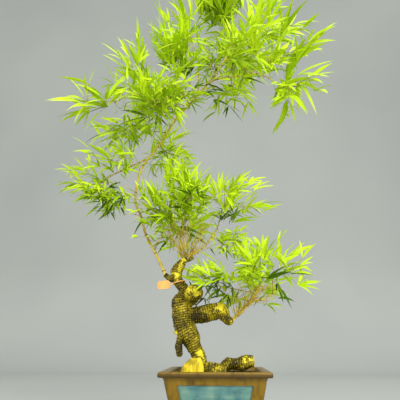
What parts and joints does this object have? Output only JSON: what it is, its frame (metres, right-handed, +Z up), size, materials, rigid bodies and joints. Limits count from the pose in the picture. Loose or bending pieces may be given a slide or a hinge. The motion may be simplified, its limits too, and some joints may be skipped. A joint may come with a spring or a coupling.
{
  "type": "potted bamboo",
  "caption": "Bonsai-trained bamboo with a chopped rhizome trunk, thin canes and airy pads of narrow leaves, in a tapered square glazed pot that stands on its base.",
  "frame": {"origin": "centre of the pot's flat underside", "axes": "+Z up along the pot's axis, -Y out of the pot's front panel, +X to the side the trunk's short arm points to"},
  "size_m": [0.7074, 0.5164, 1.1896],
  "materials": {
    "glazed_brown": "satin",
    "teal_glaze": "gloss",
    "soil": "matte",
    "rhizome_bark": "matte",
    "cut_wood": "matte",
    "cane": "satin",
    "leaf": "satin",
    "tag_card": "matte"
  },
  "bodies": {
    "root": {"pot": "glazed_brown", "panel_front": "teal_glaze", "panel_right": "teal_glaze", "panel_back": "teal_glaze", "panel_left": "teal_glaze", "soil": "soil", "trunk": "rhizome_bark", "trunk_knob": "rhizome_bark", "arm": "rhizome_bark", "hanging_stump": "rhizome_bark", "middle_rhizome": "rhizome_bark", "arm_bud": "rhizome_bark", "right_rhizome": "rhizome_bark", "root_wedge": "cut_wood", "culm_low": "cane", "culm_mid": "cane", "culm_top": "cane", "leader": "cane", "crown_bough_left": "cane", "crown_bough_right": "cane", "crown_bough_low": "cane", "left_high_bough": "cane", "left_low_bough": "cane", "pad_cane_left": "cane", "pad_cane_right": "cane", "arm_cane": "cane", "arm_cane_up": "cane", "arm_cane_right": "cane", "tag": "tag_card", "crown_top_left": "leaf", "crown_top": "leaf", "crown_top_right": "leaf", "crown_right_high": "leaf", "crown_right_low": "leaf", "crown_front": "leaf", "crown_back": "leaf", "crown_mid_left": "leaf", "crown_under": "leaf", "left_high": "leaf", "left_far": "leaf", "left_front": "leaf", "left_back": "leaf", "left_under": "leaf", "culm_side": "leaf", "culm_mid_spray": "leaf", "left_mid_star": "leaf", "left_mid_low": "leaf", "left_mid_heart": "leaf", "pad_left": "leaf", "pad_top": "leaf", "pad_right": "leaf", "pad_back": "leaf", "pad_under": "leaf", "culm_foot_spray": "leaf", "low_left": "leaf", "low_top": "leaf", "low_right": "leaf", "low_back": "leaf"}
  },
  "joints": []
}
